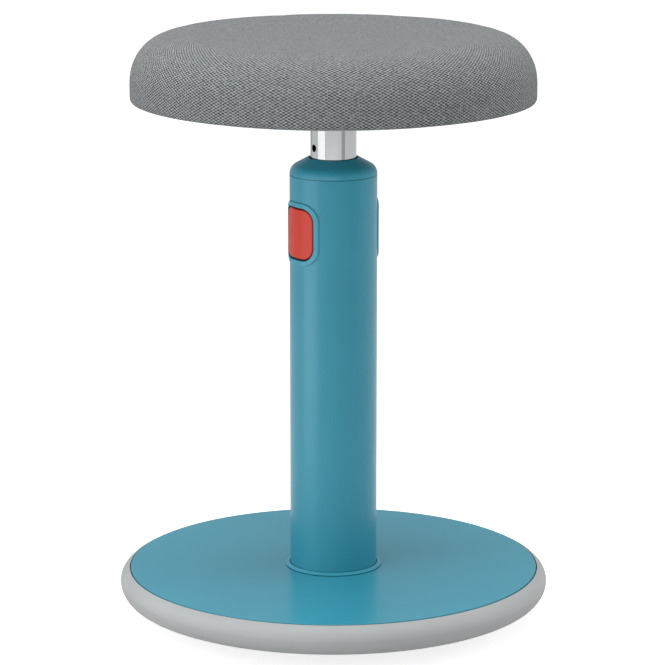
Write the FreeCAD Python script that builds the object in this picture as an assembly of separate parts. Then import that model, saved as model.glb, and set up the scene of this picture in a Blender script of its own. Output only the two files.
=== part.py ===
import FreeCAD
import Part
import math
import os

# A wobble stool: a round cloth seat on a chromed post that telescopes in a painted column.
# The column stands on a weighted base with a domed rubber tread, so the whole stool rocks.
# Each of two push buttons draws one lock pin out of a row of holes in the post.
# Millimetres, +Z up, origin on the floor under the middle of the base, buttons on the X axis.

# Seat pad, cloth over foam
seat_diameter = 350.0
seat_thickness = 56.5
seat_side_height = 15.1       # upright part of the side
seat_edge_round = 1.2         # lower edge of the side
seat_roll_width = 37.0        # how far in from the side the rolled edge reaches
seat_dish_depth = 3.5
seat_crest_round = 80.0       # roundness where the rolled edge turns into the dish
seat_gap = 50.3               # from the top of the cap to the seat at its lowest height
cover_thickness = 1.5
cover_hem = 26.0              # cloth turned in under the board
foam_side = 8.0               # foam between the board's edge and the cloth

# Seat board and the cover under it
board_thickness = 12.0
underside_inset = 16.0        # from the side of the seat
underside_thickness = 2.5
underside_edge_round = 1.2
underside_plate_gap = 4.0     # round the seat plate
underside_lip_height = 2.0
underside_lip_width = 3.0
underside_screw_count = 6
underside_screw_inset = 16.0  # from the edge of the cover under the seat
underside_screw_diameter = 3.0
underside_screw_bite = 8.0    # thread in the board

# Steel plate on top of the post, and its bolts
seat_plate_diameter = 160.0
seat_plate_thickness = 4.0
seat_bolt_inset = 20.0        # from the edge of the plate
seat_bolt_count = 4
seat_bolt_diameter = 6.0
seat_bolt_tip_gap = 2.5       # bolt ends below the top of the board
tee_nut_wall = 1.2
tee_nut_flange = 5.0          # how far the flange reaches beyond the barrel
tee_nut_barrel = 9.0
post_collar_wall = 5.0
post_collar_height = 16.0
post_collar_flare = 6.0
post_collar_chamfer = 1.5

# Post with its row of lock holes
post_diameter = 40.0
post_wall = 2.0
hole_diameter = 6.5
hole_pitch = 29.0
hole_steps = 6                # steps from the lowest seat height to the highest
holes_above_lock = 2          # holes above the upper lock pin; the last one shows above the cap

# Slider on the foot of the post, its key, and the stop below it
slide_clearance = 0.08        # radial, post in bush and slider in column
slider_height = 30.0
slider_floor = 4.0
slider_floor_hole = 30.0
slider_post_gap = 0.05
slider_screw_count = 3
slider_screw_diameter = 3.0
slider_screw_sink = 0.6       # screw heads below the slider's side
key_width = 6.0
key_depth = 3.0
key_clearance = 0.3
key_end_gap = 1.0
bump_stop_height = 20.5
bump_stop_wall = 9.0
bump_stop_gap = 0.5

# Column and cap
column_diameter = 76.1
column_wall = 2.5
column_exposed = 349.1        # from the base plate's top to the seam under the cap
cap_land = 0.7                # upright strip above the seam
cap_round = 9.7
cap_slope = 28.5              # degrees
cap_post_gap = 1.2
cap_hole_round = 1.0
seam_depth = 0.6              # shadow line where the cap meets the tube
seam_width = 0.6
cap_wall = 3.0
cap_sleeve_wall = 2.5
cap_spigot = 12.0
cap_spigot_gap = 0.15
cap_rib_count = 6
cap_rib_thickness = 2.0
bush_wall = 3.6
bush_gap = 0.05
bush_recess = 1.6             # top of the bush below the top of the cap
bush_flange_width = 3.0
bush_flange_thickness = 2.0

# Push buttons and their bezels
button_width = 37.6
button_height = 43.0
button_corner = 10.0
button_below_seam = 48.3      # centre of the button
button_proud = 0.85           # of the column
button_edge_round = 1.0
button_face = 2.7
button_skirt = 1.8
button_skirt_depth = 1.2      # behind the face
button_gap = 1.6              # all round, inside the bezel
button_travel = 4.6
tab_height = 3.0              # stop tabs above and below the button
tab_width = 22.0
tab_thickness = 1.6
tab_gap = 0.3
bezel_width = 47.7
bezel_height = 54.4
bezel_corner = 15.0
bezel_proud = 1.25
bezel_edge_round = 0.7
bezel_wall = 1.6              # collar that lines the window
bezel_depth = 5.2             # collar inside the column
window_gap = 0.3

# Lock works
pin_clearance = 0.35
pin_reach = 3.5               # tip beyond the post's surface
pin_tip_chamfer = 0.8
pin_fit_gap = 0.02
yoke_thickness = 9.0
yoke_arm = 5.3
yoke_post_gap = 0.7
yoke_end_gap = 0.4            # left between yoke and post when the button is pressed home
yoke_slot_gap = 0.3
yoke_side_gap = 0.6
yoke_pad_height = 0.4
yoke_pad_width = 10.0
yoke_screw_diameter = 3.0
yoke_screw_bite = 4.0
boss_diameter = 8.0
spring_wire = 0.9
spring_diameter = 9.0
spring_half_turns = 9
spring_pad_rim = 1.5
spring_seat_wall = 3.1
cage_bore_gap = 0.4
cage_side_gap = 0.25
cage_end_wall = 5.0
cage_pocket_gap = 1.0         # above and below the stop tabs
cage_pocket_side = 2.0        # beside the button
cage_screw_diameter = 4.0
cage_screw_inset = 7.0
cage_screw_bite = 8.0
cage_screw_sink = 0.4

# Base outline
base_diameter = 376.4
rim_width = 9.1               # from the widest point in to the edge of the plate
rim_top_round = 12.5
rim_bottom_round = 15.3
rocker_radius = 800.0
pad_diameter = 100.0
pad_edge_round = 1.0
tread_thickness = 4.0
tread_ledge = 0.5             # beyond the plate's skirt
inner_corner = 5.0
groove_count = 4
groove_width = 2.5
groove_depth = 1.2
groove_pitch = 22.0
first_groove_gap = 18.0       # from the edge of the pad

# Inside the base
plate_gap = 0.9               # between plate and rim
plate_thickness = 3.0
plate_edge_round = 0.6
plate_skirt_depth = 2.0
plate_skirt_width = 2.6
pan_thickness = 3.0
pan_gap = 0.3
pan_top_gap = 0.5
rib_count = 12
rib_thickness = 2.5
rib_start_gap = 4.0           # ribs start this far outside the flange bolts
ballast_thickness = 8.0
ballast_clearance = 2.0       # over the pan's floor
ballast_boss_gap = 11.0
hold_down_inset = 20.0        # ring under the plate that presses on the ballast
hold_down_width = 3.0
base_screw_count = 6
base_screw_inset = 23.1       # from the edge of the plate
base_screw_diameter = 4.0
base_screw_bite = 14.0
base_boss_wall = 3.0
screw_well_wall = 1.6
screw_web = 3.0               # pan under each screw head
screw_well_depth = 1.4        # head below the pan's floor

# Foot of the column
flange_diameter = 120.0
flange_thickness = 5.0
flange_ledge = 6.0            # inside the spigot, under the bump stop
flange_bolt_inset = 12.0
flange_bolt_count = 4
flange_bolt_diameter = 8.0
bolt_end = 3.0                # bolt beyond its nut
flange_spigot_height = 12.0
flange_spigot_wall = 3.0
flange_spigot_gap = 0.1
collar_width = 4.25
collar_rise = 2.4
collar_edge = 0.9
collar_undercut = 0.5         # shadow line under the edge
collar_gap = 0.6              # to the tube and to the plate
collar_flat = 0.8
collar_lip = 2.0
collar_barb = 0.8
collar_barb_height = 2.0

# Fasteners, as shares of the thread's diameter
hex_share = 1.6               # across flats
hex_height_share = 0.65
nut_share = 0.8
socket_head_share = 1.7
socket_height_share = 0.75
socket_share = 0.8
cross_head_share = 2.0
cross_height_share = 0.6
small_head_share = 1.7
bolt_clearance = 0.3
screw_clearance = 0.3
thread_gap = 0.05

# Worked out from the sizes above: outline of the base
seat_radius = seat_diameter / 2
post_radius = post_diameter / 2
column_radius = column_diameter / 2
column_bore = column_radius - column_wall
base_radius = base_diameter / 2
pad_radius = pad_diameter / 2
plate_radius = base_radius - rim_width
rim_hole = plate_radius + plate_gap
rim_top_centre = base_radius - rim_top_round
rim_bottom_centre = base_radius - rim_bottom_round
dome_centre = math.sqrt(rocker_radius ** 2 - pad_radius ** 2)
nose_height = dome_centre - math.sqrt((rocker_radius - rim_bottom_round) ** 2 - rim_bottom_centre ** 2)
plate_top = nose_height + rim_top_round
plate_bottom = plate_top - plate_thickness
skirt_bottom = plate_bottom - plate_skirt_depth
tread_wall = plate_radius - plate_skirt_width - tread_ledge


def dome(offset, radius):
    """Height at a radius of a surface that lies offset above the rocker's underside."""
    return dome_centre - math.sqrt((rocker_radius - offset) ** 2 - radius ** 2)


# Stack inside the base
pan_outside = tread_thickness + pan_gap
pan_inside = pan_outside + pan_thickness
pan_wall = tread_wall - pan_gap
pad_top = dome(tread_thickness, pad_radius)
base_screw_ring = plate_radius - base_screw_inset
base_boss_radius = base_screw_diameter / 2 + base_boss_wall
base_screw_head = cross_head_share * base_screw_diameter / 2
screw_well = base_screw_head + screw_clearance + screw_well_wall
base_screw_seat = dome(pan_inside, base_screw_ring) - screw_well_depth
base_boss_bottom = base_screw_seat + screw_web
ballast_radius = base_screw_ring - base_boss_radius - ballast_boss_gap
ballast_bottom = dome(pan_inside, ballast_radius) + ballast_clearance
flange_bottom = ballast_bottom + ballast_thickness
flange_top = flange_bottom + flange_thickness
flange_bolt_ring = flange_diameter / 2 - flange_bolt_inset
collar_radius = column_radius + collar_width
plate_hole = collar_radius - collar_lip + collar_gap

# Column, cap and buttons
seam_height = plate_top + column_exposed
spigot_radius = column_bore - cap_spigot_gap
slope_radians = math.radians(cap_slope)
cap_slope_start = column_radius - cap_round * (1 - math.sin(slope_radians))
cap_round_top = seam_height + cap_land + cap_round * math.cos(slope_radians)
cap_hole = post_radius + cap_post_gap
cap_slope_end = cap_hole + cap_hole_round * (1 + math.sin(slope_radians))
cap_slope_top = cap_round_top + (cap_slope_start - cap_slope_end) * math.tan(slope_radians)
cap_top = cap_slope_top + cap_hole_round * (1 - math.cos(slope_radians))
bush_radius = post_radius + slide_clearance + bush_wall
button_centre = seam_height - button_below_seam
button_front = column_radius + button_proud
bezel_back = column_bore - bezel_depth
tab_front = bezel_back - tab_gap
upper_pin = button_centre + hole_pitch / 2
lower_pin = button_centre - hole_pitch / 2
pin_radius = hole_diameter / 2 - pin_clearance
yoke_inner = post_radius + yoke_post_gap
yoke_outer = yoke_inner + yoke_arm
yoke_slack = button_travel + yoke_end_gap
yoke_pad = yoke_slack + yoke_outer + yoke_pad_height
yoke_screw_head = small_head_share * yoke_screw_diameter / 2
yoke_screw_head_height = cross_height_share * yoke_screw_diameter
spring_seat = post_radius + cage_bore_gap + spring_seat_wall
spring_pad_radius = spring_diameter / 2 + spring_pad_rim
spring_stop = math.sqrt((button_front - button_face) ** 2 - spring_pad_radius ** 2)
pocket_half = button_height / 2 + tab_height + cage_pocket_gap
cage_bottom = button_centre - pocket_half - cage_end_wall
cage_top = button_centre + pocket_half + cage_end_wall

# Post and seat
post_bottom = flange_top + bump_stop_height + bump_stop_gap
slider_radius = column_bore - slide_clearance
slider_top = post_bottom + slider_height
slider_screw_height = post_bottom + (slider_height + slider_floor) / 2
seat_bottom = cap_top + seat_gap
seat_top = seat_bottom + seat_thickness
seat_side_top = seat_bottom + seat_edge_round + seat_side_height
seat_crest = seat_radius - seat_roll_width
board_bottom = seat_bottom + cover_thickness
board_top = board_bottom + board_thickness
board_radius = seat_radius - cover_thickness - foam_side
hem_radius = seat_radius - cover_hem
post_top = board_bottom - seat_plate_thickness
seat_bolt_ring = seat_plate_diameter / 2 - seat_bolt_inset
underside_radius = seat_radius - underside_inset
underside_bottom = seat_bottom - underside_thickness
underside_screw_ring = underside_radius - underside_screw_inset

V = FreeCAD.Vector
CENTRE = V(0, 0, 0)
X_AXIS = V(1, 0, 0)
Y_AXIS = V(0, 1, 0)
Z_AXIS = V(0, 0, 1)


def point(radius, height):
    """A point of a turned profile, in the XZ plane."""
    return V(radius, 0, height)


def line(start, end):
    """A straight edge."""
    return Part.LineSegment(start, end).toShape()


def arc(points):
    """A round edge through three points."""
    return Part.Arc(*points).toShape()


def corner(centre_r, centre_z, radius, start, end):
    """Start, middle and end of a round corner of a turned profile, between two angles in degrees."""
    angles = [math.radians(a) for a in (start, (start + end) / 2, end)]
    return [point(centre_r + radius * math.cos(a), centre_z + radius * math.sin(a)) for a in angles]


def dome_arc(offset, outer, inner):
    """The rocker's curve from one radius in to another, for a turned profile."""
    return [point(r, dome(offset, r)) for r in (outer, (outer + inner) / 2, inner)]


def turned(steps):
    """A body turned about Z. A step is a point, joined by a line, or the three points of an arc."""
    steps = [step if isinstance(step, list) else [step] for step in steps]
    edges = []
    last = steps[-1][-1]
    for points in steps:
        if points[0].distanceToPoint(last) > 1e-6:
            edges.append(line(last, points[0]))
        if len(points) == 3:
            edges.append(arc(points))
        last = points[-1]
    return lathe(edges)


def lathe(edges):
    """A body turned about Z from a closed loop of edges."""
    wire = Part.Wire(Part.__sortEdges__(edges))
    return Part.Face(wire).revolve(CENTRE, Z_AXIS, 360)


def disc(radius, bottom, top, x=0.0, y=0.0):
    """An upright cylinder."""
    return Part.makeCylinder(radius, top - bottom, V(x, y, bottom))


def ring(outer, inner, bottom, top):
    """A plain ring about Z."""
    return disc(outer, bottom, top).cut(disc(inner, bottom, top))


def along_x(radius, start, end, height):
    """A cylinder that lies along X."""
    return Part.makeCylinder(radius, end - start, V(start, 0, height), X_AXIS)


def box(x_low, x_high, y_low, y_high, z_low, z_high):
    """A block between two corners."""
    return Part.makeBox(x_high - x_low, y_high - y_low, z_high - z_low, V(x_low, y_low, z_low))


def on_circle(count, radius, start=0.0):
    """Points spaced evenly on a circle about Z, from an angle in degrees."""
    angles = [math.radians(start + 360.0 * i / count) for i in range(count)]
    return [(radius * math.cos(a), radius * math.sin(a)) for a in angles]


def joined(body, others):
    """One solid from pieces that touch or overlap."""
    return body.fuse(others).removeSplitter()


def opposite(shape):
    """The same piece on the other side of the column, turned half round."""
    return shape.rotated(CENTRE, Z_AXIS, 180)


def rounded_bar(width, height, radius, x_low, x_high, centre):
    """A bar along X whose section is a rounded rectangle, centred on a height."""
    bar = box(x_low, x_high, -width / 2, width / 2, centre - height / 2, centre + height / 2)
    long_edges = [e for e in bar.Edges if abs(e.tangentAt(e.FirstParameter).x) > 0.9]
    return bar.makeFillet(radius, long_edges)


def stadium(radius, length, bottom, top):
    """A flat bar with round ends, one about Z and one further along X."""
    ends = disc(radius, bottom, top).fuse(disc(radius, bottom, top, x=length))
    return joined(ends, box(0, length, -radius, radius, bottom, top))


def hexagon(across_flats, x, y, bottom, top):
    """An upright hexagonal bar."""
    points = [V(x + px, y + py, bottom) for px, py in on_circle(6, across_flats / math.sqrt(3))]
    return Part.Face(Part.makePolygon(points + points[:1])).extrude(V(0, 0, top - bottom))


def cross_screw(diameter, x, y, seat, tip):
    """A pan-head screw that stands upright with its head below its seat and a cross recess."""
    head_radius = cross_head_share * diameter / 2
    head_bottom = seat - cross_height_share * diameter
    recess_top = seat - cross_height_share * diameter / 3
    long_half = 0.6 * head_radius
    short_half = 0.2 * head_radius
    across = box(x - long_half, x + long_half, y - short_half, y + short_half, head_bottom, recess_top)
    along = box(x - short_half, x + short_half, y - long_half, y + long_half, head_bottom, recess_top)
    head = disc(head_radius, head_bottom, seat, x, y).cut(across).cut(along)
    return joined(head, disc(diameter / 2, seat, tip, x, y))


# Base


def rocker_tread():
    """Soft rubber boot: the light rim that shows, and the domed skin that the stool rocks on."""
    tangent = math.degrees(math.asin(rim_bottom_centre / (rocker_radius - rim_bottom_round)))
    lower = corner(rim_bottom_centre, nose_height, rim_bottom_round, tangent - 90, 0)
    lip_angle = math.degrees(math.acos((rim_hole - rim_top_centre) / rim_top_round))
    upper = corner(rim_top_centre, nose_height, rim_top_round, 0, lip_angle)
    pad_hole = pad_radius + pan_gap
    floor_edge = tread_wall - inner_corner
    body = turned([
        dome_arc(0, pad_hole, lower[0].x),
        lower,
        upper,
        point(rim_hole, skirt_bottom),
        point(tread_wall, skirt_bottom),
        point(tread_wall, dome(tread_thickness, floor_edge) + inner_corner),
        dome_arc(tread_thickness, floor_edge, pad_hole),
    ])
    for i in range(groove_count):
        radius = pad_radius + first_groove_gap + i * groove_pitch
        top = dome(0, radius) + groove_depth
        body = body.cut(ring(radius + groove_width / 2, radius - groove_width / 2, 0, top))
    for x, y in on_circle(base_screw_count, base_screw_ring, 30):
        body = body.cut(disc(screw_well, 0, skirt_bottom, x, y))
    return body


def centre_pad():
    """Flat rubber foot in the middle of the tread. The stool stands on it when nobody sits."""
    return turned([
        point(0, 0),
        corner(pad_radius - pad_edge_round, pad_edge_round, pad_edge_round, -90, 0),
        point(pad_radius, pad_top),
        point(0, pad_top),
    ])


def base_pan():
    """Moulded pan, dished like the tread, with ribs under the ballast and a sleeve for each screw."""
    floor_edge = pan_wall - inner_corner
    inner_wall = pan_wall - pan_thickness
    inner_edge = floor_edge - pan_thickness / 2
    body = turned([
        point(0, pad_top),
        point(pad_radius, pad_top),
        dome_arc(pan_outside, pad_radius, floor_edge),
        point(pan_wall, dome(pan_outside, floor_edge) + inner_corner),
        point(pan_wall, skirt_bottom - pan_top_gap),
        point(inner_wall, skirt_bottom - pan_top_gap),
        point(inner_wall, dome(pan_inside, inner_edge) + inner_corner),
        dome_arc(pan_inside, inner_edge, pad_radius),
        point(0, dome(pan_inside, pad_radius)),
    ])
    rib_start = flange_bolt_ring + flange_bolt_diameter + rib_start_gap
    middle_of_floor = pan_outside + pan_thickness / 2
    rib_space = turned([
        dome_arc(middle_of_floor, rib_start - rib_thickness, ballast_radius),
        point(ballast_radius, ballast_bottom),
        point(rib_start - rib_thickness, ballast_bottom),
    ])
    rib = box(rib_start, ballast_radius, -rib_thickness / 2, rib_thickness / 2, 0, ballast_bottom)
    rib = rib.common(rib_space)
    ribs = [rib.rotated(CENTRE, Z_AXIS, 360.0 * i / rib_count) for i in range(rib_count)]
    sleeve_radius = screw_well - screw_clearance
    sleeve_bottom = dome(tread_thickness / 2, base_screw_ring)
    places = on_circle(base_screw_count, base_screw_ring, 30)
    sleeves = [disc(sleeve_radius, sleeve_bottom, base_boss_bottom, x, y) for x, y in places]
    body = body.fuse(ribs + sleeves)
    for x, y in places:
        body = body.cut(disc(base_screw_head + screw_clearance, 0, base_screw_seat, x, y))
        body = body.cut(disc(base_screw_diameter / 2 + screw_clearance, 0, base_boss_bottom, x, y))
    return body.removeSplitter()


def ballast_disc():
    """Steel disc that keeps the weight low."""
    body = disc(ballast_radius, ballast_bottom, flange_bottom)
    for x, y in on_circle(flange_bolt_count, flange_bolt_ring, 45):
        hole = disc(flange_bolt_diameter / 2 + bolt_clearance, ballast_bottom, flange_bottom, x, y)
        body = body.cut(hole)
    return body


def base_plate():
    """Painted cover of the base, with a skirt, screw bosses and a ring that holds the ballast down."""
    body = turned([
        point(plate_hole, plate_top),
        corner(plate_radius - plate_edge_round, plate_top - plate_edge_round, plate_edge_round, 90, 0),
        point(plate_radius, skirt_bottom),
        point(plate_radius - plate_skirt_width, skirt_bottom),
        point(plate_radius - plate_skirt_width, plate_bottom),
        point(plate_hole, plate_bottom),
    ])
    hold_down = ballast_radius - hold_down_inset
    body = body.fuse(ring(hold_down, hold_down - hold_down_width, flange_bottom, plate_bottom))
    places = on_circle(base_screw_count, base_screw_ring, 30)
    body = body.fuse([disc(base_boss_radius, base_boss_bottom, plate_bottom, x, y) for x, y in places])
    for x, y in places:
        body = body.cut(disc(base_screw_diameter / 2 + thread_gap, base_boss_bottom, plate_bottom, x, y))
    return body.removeSplitter()


def base_screws():
    """Screws that go up through the tread and the pan into the plate's bosses."""
    tip = min(base_boss_bottom + base_screw_bite, plate_bottom - screw_clearance)
    return Part.makeCompound([
        cross_screw(base_screw_diameter, x, y, base_screw_seat, tip)
        for x, y in on_circle(base_screw_count, base_screw_ring, 30)
    ])


def column_flange():
    """Steel flange with a spigot that the column is welded to."""
    spigot_outer = column_bore - flange_spigot_gap
    spigot_inner = spigot_outer - flange_spigot_wall
    body = ring(flange_diameter / 2, spigot_inner - flange_ledge, flange_bottom, flange_top)
    body = body.fuse(ring(spigot_outer, spigot_inner, flange_top, flange_top + flange_spigot_height))
    for x, y in on_circle(flange_bolt_count, flange_bolt_ring, 45):
        body = body.cut(disc(flange_bolt_diameter / 2 + bolt_clearance, flange_bottom, flange_top, x, y))
    return body.removeSplitter()


def flange_bolts():
    """Hexagon bolts down through the flange and the ballast."""
    head_top = flange_top + hex_height_share * flange_bolt_diameter
    tip = ballast_bottom - nut_share * flange_bolt_diameter - bolt_end
    bolts = []
    for x, y in on_circle(flange_bolt_count, flange_bolt_ring, 45):
        head = hexagon(hex_share * flange_bolt_diameter, x, y, flange_top, head_top)
        bolts.append(joined(head, disc(flange_bolt_diameter / 2, tip, flange_top, x, y)))
    return Part.makeCompound(bolts)


def flange_nuts():
    """Nuts under the ballast."""
    bottom = ballast_bottom - nut_share * flange_bolt_diameter
    nuts = []
    for x, y in on_circle(flange_bolt_count, flange_bolt_ring, 45):
        nut = hexagon(hex_share * flange_bolt_diameter, x, y, bottom, ballast_bottom)
        nuts.append(nut.cut(disc(flange_bolt_diameter / 2 + thread_gap, bottom, ballast_bottom, x, y)))
    return Part.makeCompound(nuts)


def foot_collar():
    """Bevelled trim ring round the foot of the column, snapped into the plate's hole from above."""
    inner = column_radius + collar_gap
    hole = plate_hole - collar_gap
    return turned([
        point(inner, plate_bottom - collar_barb_height),
        point(inner, plate_top + collar_rise),
        point(inner + collar_flat, plate_top + collar_rise),
        point(collar_radius, plate_top + collar_edge),
        point(collar_radius, plate_top + collar_undercut),
        point(collar_radius - collar_undercut, plate_top),
        point(hole, plate_top),
        point(hole, plate_bottom - collar_gap),
        point(hole + collar_barb, plate_bottom - collar_gap),
        point(hole, plate_bottom - collar_barb_height),
    ])


def bump_stop():
    """Rubber ring on the flange, just below the slider at the lowest seat height."""
    outer = column_bore - flange_spigot_gap - flange_spigot_wall - collar_gap
    return ring(outer, outer - bump_stop_wall, flange_top, flange_top + bump_stop_height)


# Column


def window_bar(gap, x_low, x_high):
    """A bar as large as the collar of the bezel, plus a gap."""
    grow = button_gap + bezel_wall + gap
    return rounded_bar(button_width + 2 * grow, button_height + 2 * grow, button_corner + grow,
                       x_low, x_high, button_centre)


def cage_screw_heights():
    """Heights of the two screws in the back of the column."""
    return [cage_bottom + cage_screw_inset, cage_top - cage_screw_inset]


def back_cylinder(radius, y_low, y_high, height):
    """A cylinder along Y, at the back of the column."""
    return Part.makeCylinder(radius, y_high - y_low, V(0, y_low, height), Y_AXIS)


def sunk_head(height, grow, top):
    """The cone of a countersunk head in the back of the column."""
    radius = cage_screw_diameter / 2
    return Part.makeCone(radius + grow, 2 * radius + grow, radius, V(0, top - radius, height), Y_AXIS)


def column_tube():
    """Painted steel tube with two windows, and two countersunk holes at the back."""
    body = ring(column_radius, column_bore, flange_top, seam_height)
    cutter = window_bar(window_gap, 0, column_radius + bezel_proud)
    body = body.cut(cutter).cut(opposite(cutter))
    head_top = column_radius - cage_screw_sink
    for height in cage_screw_heights():
        hole_radius = cage_screw_diameter / 2 + thread_gap
        body = body.cut(back_cylinder(hole_radius, 0, column_radius, height))
        body = body.cut(sunk_head(height, thread_gap, head_top))
        body = body.cut(back_cylinder(cage_screw_diameter + thread_gap, head_top, column_radius, height))
    return body


def cap_roof(radius):
    """Height of the underside of the cap's cone at a radius."""
    outside = cap_round_top + (cap_slope_start - radius) * math.tan(slope_radians)
    return outside - cap_wall / math.cos(slope_radians)


def column_cap():
    """Moulded cap: a cone with a rounded shoulder, a spigot in the tube, a sleeve and ribs inside."""
    shoulder = corner(column_radius - cap_round, seam_height + cap_land, cap_round, 0, 90 - cap_slope)
    hole_edge = corner(cap_hole + cap_hole_round, cap_top - cap_hole_round, cap_hole_round,
                       90 - cap_slope, 180)
    bottom = seam_height - cap_spigot
    bush_top = cap_top - bush_recess
    bore = bush_radius + bush_gap
    sleeve = bore + cap_sleeve_wall
    spigot_inner = spigot_radius - cap_wall
    outside = [
        point(cap_hole, bush_top),
        point(bore, bush_top),
        point(bore, bottom),
    ]
    roof = [
        point(sleeve, bottom),
        point(sleeve, cap_roof(sleeve)),
        point(spigot_inner, cap_roof(spigot_inner)),
        point(spigot_inner, bottom),
    ]
    shell = [
        point(spigot_radius, bottom),
        point(spigot_radius, seam_height),
        point(column_radius - seam_depth, seam_height),
        point(column_radius - seam_depth, seam_height + seam_width),
        point(column_radius, seam_height + seam_width),
        shoulder,
        hole_edge,
    ]
    body = turned(outside + roof + shell)
    filled = turned(outside + shell)
    rib = box(bore, spigot_radius, -cap_rib_thickness / 2, cap_rib_thickness / 2, bottom, cap_top)
    rib = rib.common(filled)
    ribs = [rib.rotated(CENTRE, Z_AXIS, 360.0 * i / cap_rib_count) for i in range(cap_rib_count)]
    return joined(body, ribs)


def guide_bush():
    """Plastic bush in the cap that the post slides in."""
    bottom = seam_height - cap_spigot
    bore = post_radius + slide_clearance
    flange = bush_radius + bush_flange_width
    top = cap_top - bush_recess
    body = ring(bush_radius, bore, bottom - bush_flange_thickness, top)
    return joined(body, ring(flange, bore, bottom - bush_flange_thickness, bottom))


def key_rail():
    """Steel key welded up the inside of the column. It stops the post turning."""
    bottom = flange_top + flange_spigot_height + key_end_gap
    top = cage_bottom - key_end_gap
    bar = box(-key_width / 2, key_width / 2, -column_radius, key_depth - column_bore, bottom, top)
    return bar.common(disc(column_bore, bottom, top))


def bezel():
    """Raised frame round one button, with a collar that lines the window in the column."""
    outer = column_radius + bezel_proud
    low = button_centre - bezel_height
    high = button_centre + bezel_height
    outline = rounded_bar(bezel_width, bezel_height, bezel_corner, 0, outer, button_centre)
    frame = ring(outer, column_radius, low, high).common(outline)
    frame = frame.makeFillet(bezel_edge_round, outline_edges(frame, outer))
    collar = window_bar(0, bezel_back, outer).common(disc(column_radius, low, high))
    opening = rounded_bar(button_width + 2 * button_gap, button_height + 2 * button_gap,
                          button_corner + button_gap, 0, outer, button_centre)
    return frame.fuse(collar).cut(opening).removeSplitter()


def outline_edges(body, radius):
    """The edges of a curved face that lies at a radius from Z."""
    found = []
    for edge in body.Edges:
        middle = edge.valueAt((edge.FirstParameter + edge.LastParameter) / 2)
        points = [v.Point for v in edge.Vertexes] + [middle]
        if all(abs(math.hypot(p.x, p.y) - radius) < 0.01 for p in points):
            found.append(edge)
    return found


# Buttons and lock works, drawn for the button on +X


def button(pin_height):
    """Red push button: a curved shell with stop tabs, a screw boss and a pad for the spring."""
    low = button_centre - button_height
    high = button_centre + button_height
    back = button_front - button_face
    bar = rounded_bar(button_width, button_height, button_corner, 0, button_front, button_centre)
    hollow = rounded_bar(button_width - 2 * button_skirt, button_height - 2 * button_skirt,
                         button_corner - button_skirt, 0, button_front, button_centre)
    shell = bar.common(ring(button_front, back - button_skirt_depth, low, high))
    shell = shell.makeFillet(button_edge_round, outline_edges(shell, button_front))
    body = shell.cut(hollow.common(disc(back, low, high)))
    half_tab = tab_width / 2
    hook = tab_front - tab_thickness
    for way in (-1, 1):
        edge = button_centre + way * button_height / 2
        leg_low, leg_high = sorted((edge, edge - way * button_skirt))
        tab_low, tab_high = sorted((edge, edge + way * tab_height))
        leg = box(hook, back, -half_tab, half_tab, leg_low, leg_high)
        body = body.fuse(leg.fuse(box(hook, tab_front, -half_tab, half_tab, tab_low, tab_high)))
    face_middle = button_front - button_face / 2
    boss = along_x(boss_diameter / 2, yoke_pad, face_middle, pin_height)
    pad = along_x(spring_pad_radius, spring_stop, face_middle, button_centre)
    thread = along_x(yoke_screw_diameter / 2 + thread_gap, yoke_pad, yoke_pad + yoke_screw_bite, pin_height)
    return joined(body, [boss, pad]).cut(thread)


def yoke(height):
    """Ring round the post. Its near side is screwed to the button and its far side holds the pin."""
    low = height - yoke_thickness / 2
    high = height + yoke_thickness / 2
    body = stadium(yoke_outer, yoke_slack, low, high).cut(stadium(yoke_inner, yoke_slack, low, high))
    near_inner = yoke_slack + yoke_inner
    pad = box(near_inner + yoke_arm / 2, yoke_pad, -yoke_pad_width / 2, yoke_pad_width / 2, low, high)
    body = joined(body, pad)
    body = body.cut(along_x(pin_radius + pin_fit_gap, -yoke_outer, -yoke_inner / 2, height))
    body = body.cut(along_x(yoke_screw_diameter / 2 + thread_gap, 0, yoke_pad, height))
    head_room = yoke_screw_head_height + screw_clearance
    return body.cut(along_x(yoke_screw_head + screw_clearance, 0, near_inner + head_room, height))


def lock_pin(height):
    """Steel pin in the far side of a yoke. Its tip stands in the post until the button is pressed."""
    tip = pin_reach - post_radius
    shoulder = tip - pin_tip_chamfer
    body = along_x(pin_radius, -yoke_outer, shoulder, height)
    tip_radius = pin_radius - pin_tip_chamfer
    nose = Part.makeCone(pin_radius, tip_radius, pin_tip_chamfer, V(shoulder, 0, height), X_AXIS)
    return joined(body, nose)


def yoke_screw(height):
    """Screw that joins a yoke to its button, put in through the hole of the pin."""
    seat = yoke_slack + yoke_inner + yoke_screw_head_height + screw_clearance
    head = along_x(yoke_screw_head, seat - yoke_screw_head_height, seat, height)
    shank = along_x(yoke_screw_diameter / 2, seat, yoke_pad + yoke_screw_bite - screw_clearance, height)
    half = yoke_screw_head / 2
    slot = box(seat - yoke_screw_head_height, seat - yoke_screw_head_height / 2, -half, half,
               height - half / 3, height + half / 3)
    return joined(head, shank).cut(slot)


def button_spring():
    """Compression spring between the cage and the pad behind the button's face, bent as half turns."""
    rise = (spring_stop - spring_seat - spring_wire) / spring_half_turns
    mean_radius = (spring_diameter - spring_wire) / 2
    halves = []
    for i in range(spring_half_turns):
        way = 1 if i % 2 == 0 else -1
        start = V(way * mean_radius, 0, i * rise)
        middle = V(0, 0, (i + 0.5) * rise)
        section = Part.Face(Part.Wire(Part.makeCircle(spring_wire / 2, start, Y_AXIS)))
        axis = (start - middle).cross(Y_AXIS * way)
        halves.append(section.revolve(middle, axis, 180))
    coil = halves[0].fuse(halves[1:])
    coil.rotate(CENTRE, Y_AXIS, 90)
    coil.translate(V(spring_seat + spring_wire / 2, 0, button_centre))
    return coil


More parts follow.
